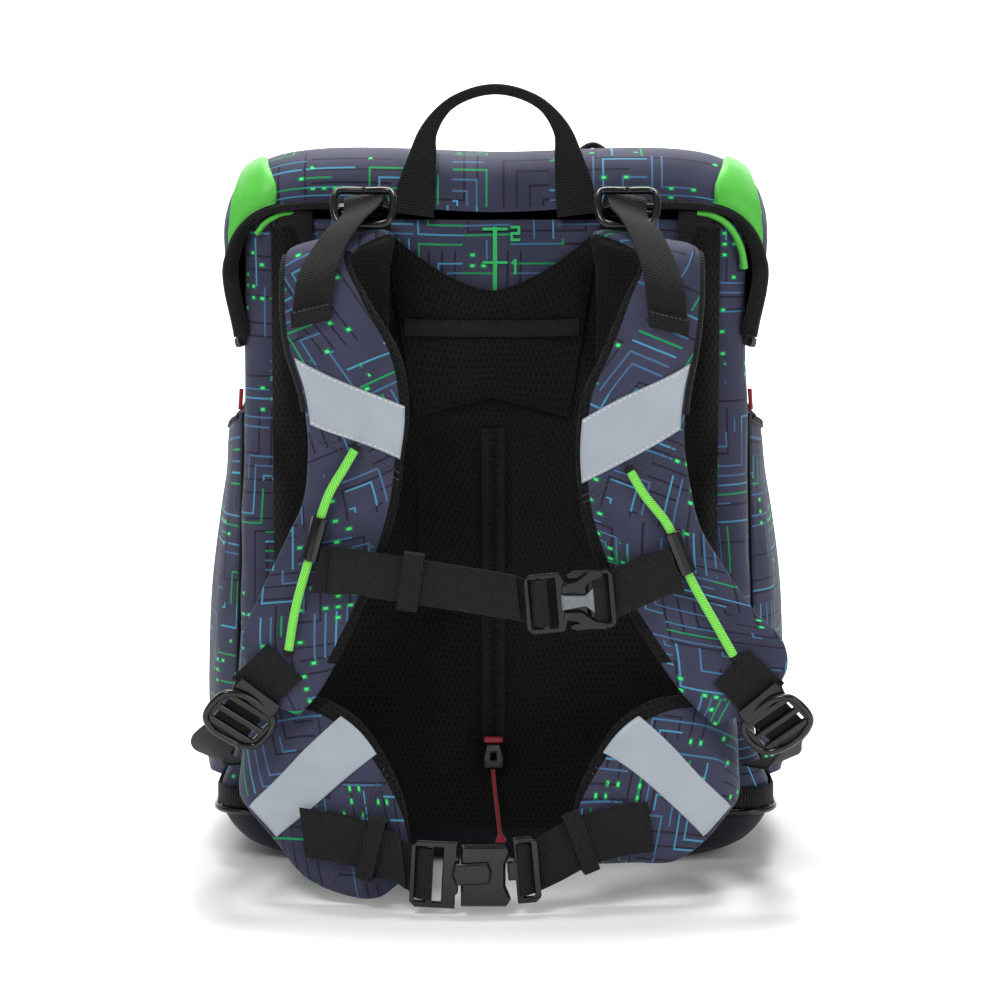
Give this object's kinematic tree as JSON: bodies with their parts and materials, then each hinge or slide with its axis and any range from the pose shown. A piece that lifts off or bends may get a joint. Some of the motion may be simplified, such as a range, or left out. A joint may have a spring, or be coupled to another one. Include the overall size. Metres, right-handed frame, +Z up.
{
  "type": "school satchel backpack",
  "caption": "Boxy stiffened school backpack with hooded lid, adjustable mesh back, padded shoulder straps, chest strap, padded hip belt and carrying handle.",
  "frame": {"origin": "middle of the base's flat underside, on the floor", "axes": "+X to the viewer's right when the harness faces the viewer, -Y out of the harness towards the wearer, +Z up"},
  "size_m": [0.3418, 0.3293, 0.443],
  "materials": {
    "printed_cloth": "matt printed polyester over stiff foam",
    "base_cloth": "matt woven polyester",
    "mesh_cloth": "matt black spacer mesh",
    "black_webbing": "ribbed polyester webbing",
    "black_plastic": "moulded, half gloss",
    "green_rubber": "matt moulded rubber",
    "green_cord": "round braided cord",
    "reflective_tape": "glass bead reflective film on cloth",
    "red_cord": "round braided cord"
  },
  "bodies": {
    "root": {"back_panel": "mesh_cloth", "base_band": "black_webbing", "base_piping": "black_plastic", "base_tub": "base_cloth", "belt_centre": "black_plastic", "belt_frame_left": "black_plastic", "belt_frame_right": "black_plastic", "belt_keeper_left": "black_webbing", "belt_keeper_right": "black_webbing", "belt_tail": "black_webbing", "belt_webbing_left": "black_webbing", "belt_webbing_right": "black_webbing", "body_shell": "printed_cloth", "chest_buckle_left": "black_plastic", "chest_buckle_right": "black_plastic", "chest_keeper": "black_webbing", "chest_tail": "black_webbing", "chest_webbing_left": "black_webbing", "chest_webbing_right": "black_webbing", "cord_rail_left": "green_cord", "cord_rail_right": "green_cord", "fin_reflector_left": "reflective_tape", "fin_reflector_right": "reflective_tape", "front_clasp": "black_plastic", "handle": "black_webbing", "hip_fin_left": "printed_cloth", "hip_fin_right": "printed_cloth", "lid": "printed_cloth", "lid_binding_left": "black_webbing", "lid_binding_right": "black_webbing", "lid_cap_left": "green_rubber", "lid_cap_right": "green_rubber", "lifter_lock_left": "black_plastic", "lifter_lock_right": "black_plastic", "load_lifter_left": "black_webbing", "load_lifter_right": "black_webbing", "lower_lock_left": "black_plastic", "lower_lock_right": "black_plastic", "lower_webbing_left": "black_webbing", "lower_webbing_right": "black_webbing", "pocket_pull_left": "red_cord", "pocket_pull_right": "red_cord", "pull_cord": "red_cord", "rail_slider_left": "black_plastic", "rail_slider_right": "black_plastic", "shoulder_strap_left": "printed_cloth", "shoulder_strap_right": "printed_cloth", "side_bolster_left": "mesh_cloth", "side_bolster_right": "mesh_cloth", "side_pocket_left": "printed_cloth", "side_pocket_right": "printed_cloth", "strap_patch_left": "black_webbing", "strap_patch_right": "black_webbing", "strap_reflector_left": "reflective_tape", "strap_reflector_right": "reflective_tape", "yoke": "mesh_cloth", "yoke_band": "black_webbing", "zip": "black_plastic", "zip_bar": "red_cord", "zip_slider": "black_plastic"}
  },
  "joints": []
}
